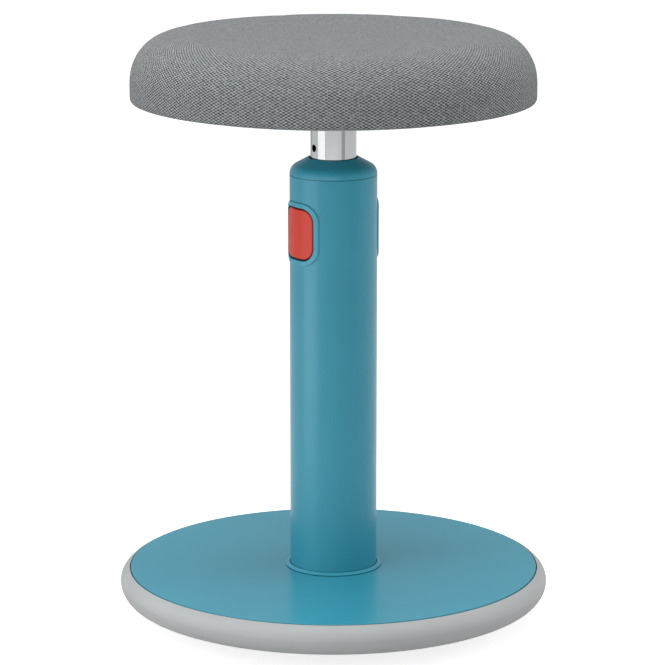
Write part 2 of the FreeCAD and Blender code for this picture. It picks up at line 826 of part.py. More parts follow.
def lock_cage():
    """Moulded block fixed in the column. The post runs through it and the yokes slide in its slots."""
    body = ring(column_bore - cage_side_gap, post_radius + cage_bore_gap, cage_bottom, cage_top)
    half_slot = yoke_thickness / 2 + yoke_slot_gap
    half_width = yoke_outer + yoke_side_gap
    for height in (lower_pin, upper_pin):
        slot = box(-column_bore, column_bore, -half_width, half_width,
                   height - half_slot, height + half_slot)
        body = body.cut(slot)
    side = button_width / 2 + cage_pocket_side
    pocket = box(spring_seat, column_bore, -side, side,
                 button_centre - pocket_half, button_centre + pocket_half)
    body = body.cut(pocket).cut(opposite(pocket))
    for height in cage_screw_heights():
        hole_radius = cage_screw_diameter / 2 + thread_gap
        body = body.cut(back_cylinder(hole_radius, column_bore - cage_screw_bite, column_bore, height))
    return body.removeSplitter()


def cage_screws():
    """Countersunk screws through the back of the column into the cage."""
    head_top = column_radius - cage_screw_sink
    screws = []
    for height in cage_screw_heights():
        start = column_bore - cage_screw_bite + screw_clearance
        shank = back_cylinder(cage_screw_diameter / 2, start, head_top, height)
        socket = back_cylinder(cage_screw_diameter / 4, head_top - cage_screw_diameter / 3, head_top, height)
        screws.append(joined(shank, sunk_head(height, 0, head_top)).cut(socket))
    return Part.makeCompound(screws)


# Post


def radial_cylinder(radius, start, end, direction, height):
    """A cylinder that points outwards from Z."""
    way = V(direction[0], direction[1], 0)
    return Part.makeCylinder(radius, end - start, way * start + V(0, 0, height), way)


def seat_post():
    """Chromed tube, drilled through both walls at every step."""
    body = ring(post_radius, post_radius - post_wall, post_bottom + slider_floor, post_top)
    for i in range(-hole_steps, holes_above_lock + 2):
        body = body.cut(along_x(hole_diameter / 2, -post_radius, post_radius, lower_pin + i * hole_pitch))
    for way in on_circle(slider_screw_count, 1, 90):
        hole_radius = slider_screw_diameter / 2 + thread_gap
        body = body.cut(radial_cylinder(hole_radius, 0, post_radius, way, slider_screw_height))
    return body


def post_slider():
    """Plastic slider on the foot of the post, with a groove that runs on the key."""
    floor_top = post_bottom + slider_floor
    body = ring(slider_radius, post_radius + slider_post_gap, floor_top, slider_top)
    body = body.fuse(ring(slider_radius, slider_floor_hole / 2, post_bottom, floor_top))
    half = key_width / 2 + key_clearance
    groove_floor = key_depth + key_clearance - column_bore
    groove = box(-half, half, -column_radius, groove_floor, post_bottom, slider_top)
    body = body.cut(groove)
    head_seat = slider_radius - slider_screw_sink - cross_height_share * slider_screw_diameter
    head_radius = cross_head_share * slider_screw_diameter / 2 + screw_clearance
    for way in on_circle(slider_screw_count, 1, 90):
        shank = slider_screw_diameter / 2 + thread_gap
        body = body.cut(radial_cylinder(shank, post_radius, slider_radius, way, slider_screw_height))
        body = body.cut(radial_cylinder(head_radius, head_seat, column_radius, way, slider_screw_height))
    return body.removeSplitter()


def slider_screws():
    """Screws that fix the slider to the post, with sunk heads."""
    head_seat = slider_radius - slider_screw_sink - cross_height_share * slider_screw_diameter
    screws = []
    for way in on_circle(slider_screw_count, 1, 90):
        tip = post_radius - 2 * post_wall
        shank = radial_cylinder(slider_screw_diameter / 2, tip, head_seat, way, slider_screw_height)
        head = radial_cylinder(cross_head_share * slider_screw_diameter / 2, head_seat,
                               slider_radius - slider_screw_sink, way, slider_screw_height)
        screws.append(joined(shank, head))
    return Part.makeCompound(screws)


# Seat


def seat_plate():
    """Steel plate welded to the top of the post and bolted up to the board."""
    body = disc(seat_plate_diameter / 2, post_top, board_bottom)
    for x, y in on_circle(seat_bolt_count, seat_bolt_ring, 45):
        body = body.cut(disc(seat_bolt_diameter / 2 + bolt_clearance, post_top, board_bottom, x, y))
    return body


def post_collar():
    """Flared collar welded round the top of the post, under the plate."""
    inner = post_radius + slider_post_gap
    outer = inner + post_collar_wall
    bottom = post_top - post_collar_height
    return turned([
        point(inner, post_top),
        point(outer + post_collar_flare, post_top),
        point(outer, post_top - post_collar_flare),
        point(outer, bottom + post_collar_chamfer),
        point(outer - post_collar_chamfer, bottom),
        point(inner, bottom),
    ])


def seat_bolts():
    """Socket-head bolts up through the plate into the tee nuts."""
    d = seat_bolt_diameter
    head_bottom = post_top - socket_height_share * d
    bolts = []
    for x, y in on_circle(seat_bolt_count, seat_bolt_ring, 45):
        head = disc(socket_head_share * d / 2, head_bottom, post_top, x, y)
        shank = disc(d / 2, post_top, board_top - seat_bolt_tip_gap, x, y)
        socket = hexagon(socket_share * d, x, y, head_bottom, post_top - socket_height_share * d / 3)
        bolts.append(joined(head, shank).cut(socket))
    return Part.makeCompound(bolts)


def tee_nuts():
    """Tee nuts driven into the top of the board."""
    barrel_radius = seat_bolt_diameter / 2 + tee_nut_wall
    nuts = []
    for x, y in on_circle(seat_bolt_count, seat_bolt_ring, 45):
        barrel = disc(barrel_radius, board_top - tee_nut_barrel, board_top, x, y)
        flange = disc(barrel_radius + tee_nut_flange, board_top - tee_nut_wall, board_top, x, y)
        thread = disc(seat_bolt_diameter / 2 + thread_gap, board_bottom, board_top, x, y)
        nuts.append(joined(barrel, flange).cut(thread))
    return Part.makeCompound(nuts)


def seat_board():
    """Plywood disc that carries the foam."""
    body = disc(board_radius, board_bottom, board_top)
    barrel_radius = seat_bolt_diameter / 2 + tee_nut_wall
    for x, y in on_circle(seat_bolt_count, seat_bolt_ring, 45):
        body = body.cut(disc(barrel_radius + thread_gap, board_bottom, board_top, x, y))
        flange = barrel_radius + tee_nut_flange + thread_gap
        body = body.cut(disc(flange, board_top - tee_nut_wall, board_top, x, y))
    for x, y in on_circle(underside_screw_count, underside_screw_ring, 30):
        top = board_bottom + underside_screw_bite + screw_clearance
        body = body.cut(disc(underside_screw_diameter / 2 + thread_gap, board_bottom, top, x, y))
    return body


def dish_arcs(offset):
    """The top of the pad inside the crest, lowered by an offset: a crest arc, then the hollow."""
    turn = 2 * math.atan(seat_dish_depth / seat_crest)
    crest_arc = seat_crest_round - offset
    hollow_arc = seat_crest / math.sin(turn) - crest_arc
    top = seat_top - offset
    crest = [point(seat_crest - crest_arc * math.sin(a), top - crest_arc * (1 - math.cos(a)))
             for a in (0, turn / 2, turn)]
    bottom = crest[2].z - hollow_arc * (1 - math.cos(turn))
    hollow = [point(hollow_arc * math.sin(a), bottom + hollow_arc * (1 - math.cos(a)))
              for a in (turn, turn / 2, 0)]
    return crest, hollow


def rolled_edge(offset):
    """A quarter of an ellipse from the top of the pad's side in to its crest."""
    width = seat_roll_width - offset
    height = seat_top - seat_side_top - offset
    centre = point(seat_crest, seat_side_top)
    side = point(seat_crest + width, seat_side_top)
    crest = point(seat_crest, seat_side_top + height)
    ellipse = Part.Ellipse(crest, side, centre) if height > width else Part.Ellipse(side, crest, centre)
    start = ellipse.parameter(side)
    end = ellipse.parameter(crest)
    if (end - start) % (2 * math.pi) > math.pi:
        start, end = end, start
    return Part.ArcOfEllipse(ellipse, start, end).toShape()


def seat_foam():
    """Moulded foam with a rolled edge and a shallow dish on top, wrapped down past the board's edge."""
    side = seat_radius - cover_thickness
    crest, hollow = dish_arcs(cover_thickness)
    return lathe([
        line(point(side, board_bottom), point(side, seat_side_top)),
        rolled_edge(cover_thickness),
        arc(crest),
        arc(hollow),
        line(hollow[2], point(0, board_top)),
        line(point(0, board_top), point(board_radius, board_top)),
        line(point(board_radius, board_top), point(board_radius, board_bottom)),
        line(point(board_radius, board_bottom), point(side, board_bottom)),
    ])


def seat_cover():
    """Woven cloth stretched over the foam and turned in under the board."""
    side = seat_radius - cover_thickness
    crest, hollow = dish_arcs(0)
    inner_crest, inner_hollow = dish_arcs(cover_thickness)
    lower = corner(seat_radius - seat_edge_round, seat_bottom + seat_edge_round, seat_edge_round, -90, 0)
    return lathe([
        line(point(hem_radius, seat_bottom), lower[0]),
        arc(lower),
        line(lower[2], point(seat_radius, seat_side_top)),
        rolled_edge(0),
        arc(crest),
        arc(hollow),
        line(hollow[2], inner_hollow[2]),
        arc(inner_hollow),
        arc(inner_crest),
        rolled_edge(cover_thickness),
        line(point(side, seat_side_top), point(side, board_bottom)),
        line(point(side, board_bottom), point(hem_radius, board_bottom)),
        line(point(hem_radius, board_bottom), point(hem_radius, seat_bottom)),
    ])


def seat_underside():
    """Moulded cover that hides the turned-in cloth, with an opening for the plate."""
    opening = seat_plate_diameter / 2 + underside_plate_gap
    lip = opening + underside_lip_width
    step = hem_radius - screw_clearance
    lower_edge = corner(underside_radius - underside_edge_round, underside_bottom + underside_edge_round,
                        underside_edge_round, 0, -90)
    body = turned([
        point(opening, board_bottom),
        point(step, board_bottom),
        point(step, seat_bottom),
        point(underside_radius, seat_bottom),
        lower_edge,
        point(lip, underside_bottom),
        point(lip, underside_bottom - underside_lip_height),
        point(opening, underside_bottom - underside_lip_height),
    ])
    for x, y in on_circle(underside_screw_count, underside_screw_ring, 30):
        hole = underside_screw_diameter / 2 + screw_clearance
        body = body.cut(disc(hole, underside_bottom, board_bottom, x, y))
    return body


def underside_screws():
    """Pan-head screws that hold the cover to the board."""
    return Part.makeCompound([
        cross_screw(underside_screw_diameter, x, y, underside_bottom, board_bottom + underside_screw_bite)
        for x, y in on_circle(underside_screw_count, underside_screw_ring, 30)
    ])


pieces = {
    "rocker_tread": rocker_tread(),
    "centre_pad": centre_pad(),
    "base_pan": base_pan(),
    "ballast_disc": ballast_disc(),
    "base_plate": base_plate(),
    "base_screws": base_screws(),
    "column_flange": column_flange(),
    "flange_bolts": flange_bolts(),
    "flange_nuts": flange_nuts(),
    "foot_collar": foot_collar(),
    "bump_stop": bump_stop(),
    "column_tube": column_tube(),
    "column_cap": column_cap(),
    "guide_bush": guide_bush(),
    "key_rail": key_rail(),
    "lock_cage": lock_cage(),
    "cage_screws": cage_screws(),
    "bezel_right": bezel(),
    "bezel_left": opposite(bezel()),
    "button_right": button(lower_pin),
    "button_left": opposite(button(upper_pin)),
    "yoke_right": yoke(lower_pin),
    "yoke_left": opposite(yoke(upper_pin)),
    "lock_pin_right": lock_pin(lower_pin),
    "lock_pin_left": opposite(lock_pin(upper_pin)),
    "yoke_screw_right": yoke_screw(lower_pin),
    "yoke_screw_left": opposite(yoke_screw(upper_pin)),
    "button_spring_right": button_spring(),
    "button_spring_left": opposite(button_spring()),
    "seat_post": seat_post(),
    "post_slider": post_slider(),
    "slider_screws": slider_screws(),
    "seat_plate": seat_plate(),
    "post_collar": post_collar(),
    "seat_bolts": seat_bolts(),
    "tee_nuts": tee_nuts(),
    "seat_board": seat_board(),
    "seat_foam": seat_foam(),
    "seat_cover": seat_cover(),
    "seat_underside": seat_underside(),
    "underside_screws": underside_screws(),
}

os.makedirs("parts", exist_ok=True)
for name, shape in pieces.items():
    shape.exportStep(f"parts/{name}.step")
    print(name, len(shape.Solids), "solids", round(shape.Volume / 1000, 2), "cm3, valid:", shape.isValid())
print("plate top", round(plate_top, 2), "cap top", round(cap_top, 2), "seat top", round(seat_top, 2))
print("lowest hole of the post", round(lower_pin - hole_steps * hole_pitch, 2))
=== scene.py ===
import math

import bmesh
import bpy
from mathutils import Matrix, Vector


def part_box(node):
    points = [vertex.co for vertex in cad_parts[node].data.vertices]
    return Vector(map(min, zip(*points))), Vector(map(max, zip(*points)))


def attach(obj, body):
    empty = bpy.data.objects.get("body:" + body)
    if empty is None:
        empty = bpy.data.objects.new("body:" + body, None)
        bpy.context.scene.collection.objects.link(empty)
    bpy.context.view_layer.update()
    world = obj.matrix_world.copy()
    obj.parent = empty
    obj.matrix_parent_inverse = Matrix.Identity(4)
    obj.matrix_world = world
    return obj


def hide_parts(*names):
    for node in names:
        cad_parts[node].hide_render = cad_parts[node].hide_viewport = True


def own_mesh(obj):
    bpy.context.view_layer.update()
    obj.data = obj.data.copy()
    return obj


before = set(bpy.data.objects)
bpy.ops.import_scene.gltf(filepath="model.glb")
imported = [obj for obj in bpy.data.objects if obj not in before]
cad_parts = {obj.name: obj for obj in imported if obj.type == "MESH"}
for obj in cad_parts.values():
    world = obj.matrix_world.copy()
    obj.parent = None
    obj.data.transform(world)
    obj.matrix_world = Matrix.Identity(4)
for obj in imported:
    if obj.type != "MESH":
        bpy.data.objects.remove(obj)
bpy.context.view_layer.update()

# Photographer's view. A long lens stands 2.8 m from the column, a little above the seat,
# turned so that the left button faces it.
view_turn = math.radians(-33.0)
view_drop = math.radians(12.641)
view_distance = 2.8150
view_height = 0.8858
photo_width = 665
focal_pixels = 3309.25
pixels_off_middle = -0.95


def round_column(angle, distance, height):
    """A point round the column, at an angle from the front and a distance from the axis."""
    return distance * math.sin(angle), -distance * math.cos(angle), height


camera = bpy.data.objects.new("camera", bpy.data.cameras.new("camera"))
bpy.context.scene.collection.objects.link(camera)
camera.location = round_column(view_turn, view_distance, view_height)
camera.rotation_euler = (math.pi / 2 - view_drop, 0.0, view_turn)
camera.data.sensor_width = 36.0
camera.data.lens = focal_pixels / photo_width * camera.data.sensor_width
camera.data.shift_x = pixels_off_middle / photo_width
bpy.context.scene.camera = camera

# Studio. A white floor runs away under a white room. Soft lamps stand on the left, on the right,
# in front and overhead. Two grey flags put the dark lines in the chromed post, and two white cards
# put the bright band on the left of post and column.
bpy.context.scene.view_settings.view_transform = "Standard"
room_fill = 0.28
mirrored_room = 0.3
floor_white = 0.80
mirrored_floor = 0.5
floor_radius = 12.0


def new_material(name):
    """An empty material: its nodes, its links and its shader."""
    material = bpy.data.materials.new(name)
    material.use_nodes = True
    nodes, links = material.node_tree.nodes, material.node_tree.links
    return material, nodes, links, nodes["Principled BSDF"]


def calculated(nodes, links, operation, first, second):
    """A number worked out from a socket and another socket or a plain value."""
    step = nodes.new("ShaderNodeMath")
    step.operation = operation
    links.new(first, step.inputs[0])
    if isinstance(second, (int, float)):
        step.inputs[1].default_value = second
    else:
        links.new(second, step.inputs[1])
    return step.outputs[0]


def seen_or_mirrored(nodes, links, mirrored):
    """1 for rays from the camera, and a share for those mirrored or bent on their way to it."""
    path = nodes.new("ShaderNodeLightPath")
    bent = calculated(nodes, links, "MAXIMUM", path.outputs["Is Glossy Ray"],
                      path.outputs["Is Transmission Ray"])
    share = calculated(nodes, links, "MULTIPLY", bent, mirrored)
    return calculated(nodes, links, "MAXIMUM", share, path.outputs["Is Camera Ray"])


room = bpy.data.worlds.new("studio")
bpy.context.scene.world = room
room.use_nodes = True
room_nodes, room_links = room.node_tree.nodes, room.node_tree.links
room_light = room_nodes["Background"]
room_light.inputs["Color"].default_value = (1.0, 1.0, 1.0, 1.0)
room_level = room_nodes.new("ShaderNodeMapRange")
room_level.inputs["To Min"].default_value = room_fill
room_level.inputs["To Max"].default_value = 1.0
room_links.new(seen_or_mirrored(room_nodes, room_links, mirrored_room), room_level.inputs["Value"])
room_links.new(room_level.outputs["Result"], room_light.inputs["Strength"])


def placed(work, name, material):
    """A bmesh as a new object, at the origin, with its material."""
    data = bpy.data.meshes.new(name)
    work.to_mesh(data)
    work.free()
    data.materials.append(material)
    made = bpy.data.objects.new(name, data)
    bpy.context.scene.collection.objects.link(made)
    return made


floor_paint, nodes, links, shader = new_material("floor_paint")
shader.inputs["Base Color"].default_value = (0.60, 0.60, 0.60, 1.0)
shader.inputs["Roughness"].default_value = 0.9
shader.inputs["Emission Color"].default_value = (1.0, 1.0, 1.0, 1.0)
floor_seen = seen_or_mirrored(nodes, links, mirrored_floor)
floor_glow = calculated(nodes, links, "MULTIPLY", floor_seen, floor_white)
links.new(floor_glow, shader.inputs["Emission Strength"])
under_floor = nodes.new("ShaderNodeNewGeometry")
see_through = nodes.new("ShaderNodeBsdfTransparent")
floor_side = nodes.new("ShaderNodeMixShader")
links.new(under_floor.outputs["Backfacing"], floor_side.inputs[0])
links.new(shader.outputs["BSDF"], floor_side.inputs[1])
links.new(see_through.outputs["BSDF"], floor_side.inputs[2])
links.new(floor_side.outputs["Shader"], nodes["Material Output"].inputs["Surface"])
floor_mesh = bmesh.new()
bmesh.ops.create_circle(floor_mesh, cap_ends=True, segments=96, radius=floor_radius)
placed(floor_mesh, "studio_floor", floor_paint)


def lamp(name, turn, height, distance, width, tall, watts, mirrored=True):
    """A soft lamp that faces the column, a turn in degrees to the right of the camera."""
    data = bpy.data.lights.new(name, "AREA")
    data.shape = "RECTANGLE"
    data.size, data.size_y = width, tall
    data.energy = watts
    made = bpy.data.objects.new(name, data)
    bpy.context.scene.collection.objects.link(made)
    angle = view_turn + math.radians(turn)
    made.location = round_column(angle, distance, height)
    aim = Vector((0.0, 0.0, 0.3)) - made.location
    made.rotation_euler = aim.to_track_quat("-Z", "Y").to_euler()
    made.visible_glossy = mirrored


lamp("left_lamp", turn=-62.0, height=0.8, distance=1.7, width=1.7, tall=1.6, watts=12.5, mirrored=False)
lamp("front_lamp", turn=-10.0, height=1.0, distance=2.5, width=2.0, tall=0.8, watts=12.0)
lamp("right_lamp", turn=100.0, height=0.7, distance=2.0, width=1.4, tall=1.4, watts=12.5, mirrored=False)
lamp("top_lamp", turn=-20.0, height=3.0, distance=0.25, width=3.0, tall=3.0, watts=90.0)

flag_felt, _, _, shader = new_material("flag_felt")
shader.inputs["Base Color"].default_value = (0.55, 0.55, 0.55, 1.0)
shader.inputs["Roughness"].default_value = 1.0


def glowing(name, strength):
    """A white card's paint, lit from inside."""
    material, _, _, shader = new_material(name)
    shader.inputs["Emission Color"].default_value = (1.0, 1.0, 1.0, 1.0)
    shader.inputs["Emission Strength"].default_value = strength
    return material


def card(name, turn, distance, width, low, high, material):
    """An upright card, seen only in reflections, a turn in degrees to the right of the camera."""
    angle = view_turn + math.radians(turn)
    stand = Matrix.Translation(round_column(angle, distance, (low + high) / 2))
    upright = Matrix.Rotation(angle, 4, "Z") @ Matrix.Rotation(math.pi / 2, 4, "X")
    work = bmesh.new()
    bmesh.ops.create_grid(work, x_segments=1, y_segments=1, size=0.5,
                          matrix=stand @ upright @ Matrix.Diagonal((width, high - low, 1.0, 1.0)))
    made = placed(work, name, material)
    made.visible_camera = False
    made.visible_diffuse = False
    made.visible_shadow = False


bright_card = glowing("bright_card", 2.4)
soft_card = glowing("soft_card", 1.0)
card("right_flag", turn=50.0, distance=1.5, width=0.5, low=0.0, high=2.4, material=flag_felt)
card("left_flag", turn=-145.0, distance=1.5, width=0.8, low=0.0, high=2.4, material=flag_felt)
card("column_card", turn=-62.0, distance=0.62, width=0.45, low=0.0, high=0.27, material=bright_card)
card("post_card", turn=-62.0, distance=0.62, width=0.45, low=0.27, high=1.2, material=soft_card)

# Tread. One soft light-grey rubber boot: its rounded rim shows round the plate, and its domed skin
# with four grooves is what the stool rocks on. Moulded, with a fine matt grain.


def object_noise(nodes, links, scale, detail=2.0, stretch=(1.0, 1.0, 1.0)):
    """Soft noise through the piece, with cells about 1/scale metres wide."""
    place = nodes.new("ShaderNodeTexCoord")
    size = nodes.new("ShaderNodeMapping")
    size.inputs["Scale"].default_value = stretch
    noise = nodes.new("ShaderNodeTexNoise")
    noise.inputs["Scale"].default_value = scale
    noise.inputs["Detail"].default_value = detail
    links.new(place.outputs["Object"], size.inputs["Vector"])
    links.new(size.outputs["Vector"], noise.inputs["Vector"])
    return noise.outputs["Fac"]


def between(nodes, links, factor, low, high):
    """A number that runs from low to high as the noise does from dark to light."""
    spread = nodes.new("ShaderNodeMapRange")
    spread.inputs["From Min"].default_value = 0.3
    spread.inputs["From Max"].default_value = 0.7
    spread.inputs["To Min"].default_value = low
    spread.inputs["To Max"].default_value = high
    links.new(factor, spread.inputs["Value"])
    return spread.outputs["Result"]


def tinted(nodes, links, factor, dark, light):
    """A colour between two, by the noise."""
    mix = nodes.new("ShaderNodeMix")
    mix.data_type = "RGBA"
    mix.inputs["A"].default_value = (*dark, 1.0)
    mix.inputs["B"].default_value = (*light, 1.0)
    links.new(between(nodes, links, factor, 0.0, 1.0), mix.inputs["Factor"])
    return mix.outputs["Result"]


def grained(nodes, links, shader, height, depth):
    """Relief on the surface, with a depth in metres."""
    bump = nodes.new("ShaderNodeBump")
    bump.inputs["Strength"].default_value = 1.0
    bump.inputs["Distance"].default_value = depth
    links.new(height, bump.inputs["Height"])
    links.new(bump.outputs["Normal"], shader.inputs["Normal"])


def painted_joint_shade(nodes, links, colour):
    """The colour, darkened by painted shade in narrow joints and corners."""
    joint_width = 0.002
    deepest = 0.25
    open_enough = 0.75
    openness = nodes.new("ShaderNodeAmbientOcclusion")
    openness.inputs["Distance"].default_value = joint_width
    openness.samples = 8
    level = nodes.new("ShaderNodeMapRange")
    level.inputs["From Min"].default_value = deepest
    level.inputs["From Max"].default_value = open_enough
    level.inputs["To Min"].default_value = deepest
    links.new(openness.outputs["AO"], level.inputs["Value"])
    dimmed = nodes.new("ShaderNodeVectorMath")
    dimmed.operation = "SCALE"
    links.new(colour, dimmed.inputs[0])
    links.new(level.outputs["Result"], dimmed.inputs["Scale"])
    return dimmed.outputs["Vector"]


def moulded(name, colour, roughness, grain_size, grain_depth, mottle=0.04, shine=0.25):
    """A moulded or sprayed finish: a little uneven in tone and gloss, with a fine grain, and painted shade
    in its narrow joints and corners.
    """
    material, nodes, links, shader = new_material(name)
    shader.inputs["Specular IOR Level"].default_value = shine
    gloss_spread = 0.01
    cloudy = object_noise(nodes, links, scale=14.0, detail=3.0)
    dark = [c * (1 - mottle) for c in colour]
    light = [c * (1 + mottle) for c in colour]
    tone = tinted(nodes, links, cloudy, dark, light)
    # Painted shade: the colour darkens in narrow joints and corners.
    links.new(painted_joint_shade(nodes, links, tone), shader.inputs["Base Color"])
    fine = object_noise(nodes, links, scale=1 / grain_size, detail=2.0)
    gloss = between(nodes, links, fine, roughness - gloss_spread, roughness + gloss_spread)
    links.new(gloss, shader.inputs["Roughness"])
    grained(nodes, links, shader, fine, grain_depth)
    return material


def dress(material, *names):
    """Puts a finish on nodes of the CAD model."""
    for name in names:
        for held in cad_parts[name].material_slots:
            held.material = material


rim_rubber = moulded("rim_rubber", (0.415, 0.43, 0.432), roughness=0.55, grain_size=0.0006,
                     grain_depth=0.00004)
dress(rim_rubber, "rocker_tread")

# Foot and stop. The flat foot in the middle of the tread and the stop ring under the slider are
# dark rubber, turned or pressed, with a duller and coarser grain than the tread.
dark_rubber = moulded("dark_rubber", (0.020, 0.020, 0.021), roughness=0.8, grain_size=0.0008,
                      grain_depth=0.00006, mottle=0.15)
dress(dark_rubber, "centre_pad", "bump_stop")

# Inner mouldings. Pan, slider, lock cage and bush are black plastic with the fine spark grain of a
# plain mould. Screws hold them.
black_plastic = moulded("black_plastic", (0.018, 0.018, 0.020), roughness=0.5, grain_size=0.0007,
                        grain_depth=0.00005, mottle=0.10)
dress(black_plastic, "base_pan", "post_slider", "lock_cage", "guide_bush")

# Cover under the seat. A thin grey plastic moulding with a fine grain, screwed to the board over the
# turned-in cloth. Its light colour is what throws light back on the cap below it.
grey_plastic = moulded("grey_plastic", (0.47, 0.49, 0.49), roughness=0.5, grain_size=0.0006,
                       grain_depth=0.00004)
dress(grey_plastic, "seat_underside")

# Plate, cap, collar and bezels. Teal plastic mouldings, satin, in the colour of the column, but painted
# about 8% lighter: painted light, which lifts the cap in the shade of the seat.
# The plate is screwed down from below, the cap plugs in, and the rest snap on.
teal_plastic = moulded("teal_plastic", (0.039, 0.306, 0.418), roughness=0.30, grain_size=0.0005,
                       grain_depth=0.000004, mottle=0.03, shine=0.35)
dress(teal_plastic, "base_plate", "foot_collar", "column_cap", "bezel_right", "bezel_left")

# Column. A drawn steel tube, welded to its flange below, with two windows for the buttons.
# The teal is baked on as powder and dries with a fine satin grain.
teal_paint = moulded("teal_paint", (0.036, 0.282, 0.385), roughness=0.28, grain_size=0.0006,
                     grain_depth=0.000004, mottle=0.03, shine=0.35)
dress(teal_paint, "column_tube")

# Buttons. Red plastic mouldings, satin, set a hair proud of the column inside their bezels.
# Each is screwed to the yoke behind it.
red_plastic = moulded("red_plastic", (0.60, 0.041, 0.024), roughness=0.38, grain_size=0.0006,
                      grain_depth=0.00002, mottle=0.03)
dress(red_plastic, "button_right", "button_left")

# Steel works. Ballast, flange, key, yokes, pins, bolts, nuts and the screws inside are bright
# zinc-plated steel, cut or turned, faintly streaked.


def streaked_steel(name, colour, roughness, stretch, streak=0.12):
    """Bare or plated steel with streaks from cutting or drawing."""
    material, nodes, links, shader = new_material(name)
    shader.inputs["Metallic"].default_value = 1.0
    streaks = object_noise(nodes, links, scale=900.0, detail=3.0, stretch=stretch)
    dark = [c * (1 - streak) for c in colour]
    links.new(tinted(nodes, links, streaks, dark, colour), shader.inputs["Base Color"])
    links.new(between(nodes, links, streaks, roughness * 0.8, roughness * 1.2), shader.inputs["Roughness"])
    grained(nodes, links, shader, streaks, 0.00006 * streak)
    return material


plain_steel = streaked_steel("plain_steel", (0.56, 0.56, 0.55), roughness=0.32, stretch=(1.0, 1.0, 0.15))
dress(plain_steel, "ballast_disc", "column_flange", "key_rail", "flange_bolts", "flange_nuts",
      "base_screws", "cage_screws", "slider_screws", "tee_nuts", "yoke_screw_right",
      "yoke_screw_left", "lock_pin_right", "lock_pin_left", "yoke_right", "yoke_left")

# Button springs. Cold-wound, zinc-plated spring wire, set between the lock cage and the back of each
# button. They are drawn from their solids, each as a mesh of its own.
weld_distance = 1e-6


def smoothed(made):
    """The object, with smooth faces."""
    for face in made.data.polygons:
        face.use_smooth = True
    return made


for side in ("left", "right"):
    solid_name = "button_spring_" + side
    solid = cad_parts[solid_name]
    work = bmesh.new()
    work.from_mesh(solid.data)
    bmesh.ops.transform(work, matrix=solid.matrix_world, verts=work.verts)
    bmesh.ops.remove_doubles(work, verts=work.verts, dist=weld_distance)
    bmesh.ops.recalc_face_normals(work, faces=work.faces)
    coil = smoothed(placed(work, "wire_" + solid_name, plain_steel))
    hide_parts(solid_name)
    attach(coil, "base")
    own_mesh(coil)

# Black steel. The plate and collar at the top of the post are powder-coated black, and their
# bolts and the screws of the cover are blacked.
black_steel = moulded("black_steel", (0.014, 0.014, 0.015), roughness=0.42, grain_size=0.0015,
                      grain_depth=0.00003, mottle=0.12)
dress(black_steel, "seat_plate", "post_collar", "seat_bolts", "underside_screws")

# Post. Drawn steel tube, ground, polished and chromed. It shows faint rings from grinding. It is
# welded to the collar of the seat plate, and it slides in the column's bush.
chrome = streaked_steel("chrome", (0.57, 0.585, 0.59), roughness=0.07, stretch=(0.05, 0.05, 1.0),
                        streak=0.02)
dress(chrome, "seat_post")

# Board. Birch plywood, cut round, with its plies showing at the edge as light and dark bands.
# Tee nuts pressed into it take the bolts of the seat plate.
plywood, nodes, links, shader = new_material("plywood")
plies_at = nodes.new("ShaderNodeTexCoord")
plies = nodes.new("ShaderNodeTexWave")
plies.wave_type = "BANDS"
plies.bands_direction = "Z"
plies.inputs["Scale"].default_value = 120.0
plies.inputs["Distortion"].default_value = 0.6
links.new(plies_at.outputs["Object"], plies.inputs["Vector"])
dark_ply = (0.36, 0.22, 0.11)
light_ply = (0.60, 0.44, 0.26)
links.new(tinted(nodes, links, plies.outputs["Fac"], dark_ply, light_ply), shader.inputs["Base Color"])
wood_grain = object_noise(nodes, links, scale=60.0, detail=6.0, stretch=(1.0, 14.0, 1.0))
links.new(between(nodes, links, wood_grain, 0.5, 0.75), shader.inputs["Roughness"])
grained(nodes, links, shader, wood_grain, depth=0.0001)
dress(plywood, "seat_board")

# Seat cover. Grey woven cloth: a round panel on top and a band round the side, joined on the crest
# by a fine flat seam. It is pulled over the foam, gathered a little and stapled under the board.
seat_low, seat_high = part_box("seat_cover")
cloth_thickness = 0.0015
pad_radius = seat_high.x
roll_width = 0.037
crest_radius = pad_radius - roll_width
side_top = seat_low.z + 0.0163
dish_depth = 0.0035
lower_round = 0.0012
turned_in = 0.0255
panel_rings = 22
roll_rings = 11
side_rings = 3
hem_rings = 4
rounds = 160


def pad_outline(inset):
    """Outline from the middle of the top over the crest and round the roll to the foot of the side."""
    points = []
    for i in range(panel_rings):
        share = i / panel_rings
        points.append((crest_radius * share, seat_high.z - inset - dish_depth * (1 - share * share)))
    for i in range(roll_rings):
        angle = math.pi / 2 * i / roll_rings
        points.append((crest_radius + (roll_width - inset) * math.sin(angle),
                       side_top + (seat_high.z - inset - side_top) * math.cos(angle)))
    side_foot = seat_low.z + lower_round
    for i in range(side_rings + 1):
        points.append((pad_radius - inset, side_top + (side_foot - side_top) * i / side_rings))
    return points


def turned_piece(name, points, steps, material):
    """A piece turned about the column's axis from a line of points, as a new smooth object.

    It is built ring by ring, so that its points lie in the same order each run.
    """
    work = bmesh.new()
    rings = []
    for r, z in points:
        turns = [2 * math.pi * i / steps for i in range(steps if r > 0 else 1)]
        rings.append([work.verts.new((r * math.cos(a), r * math.sin(a), z)) for a in turns])
    for inner, outer in zip(rings, rings[1:]):
        for i in range(steps):
            near, far = i, (i + 1) % steps
            corners = [inner[near % len(inner)], outer[near % len(outer)],
                       outer[far % len(outer)], inner[far % len(inner)]]
            work.faces.new(list(dict.fromkeys(corners)))
    return smoothed(placed(work, name, material))


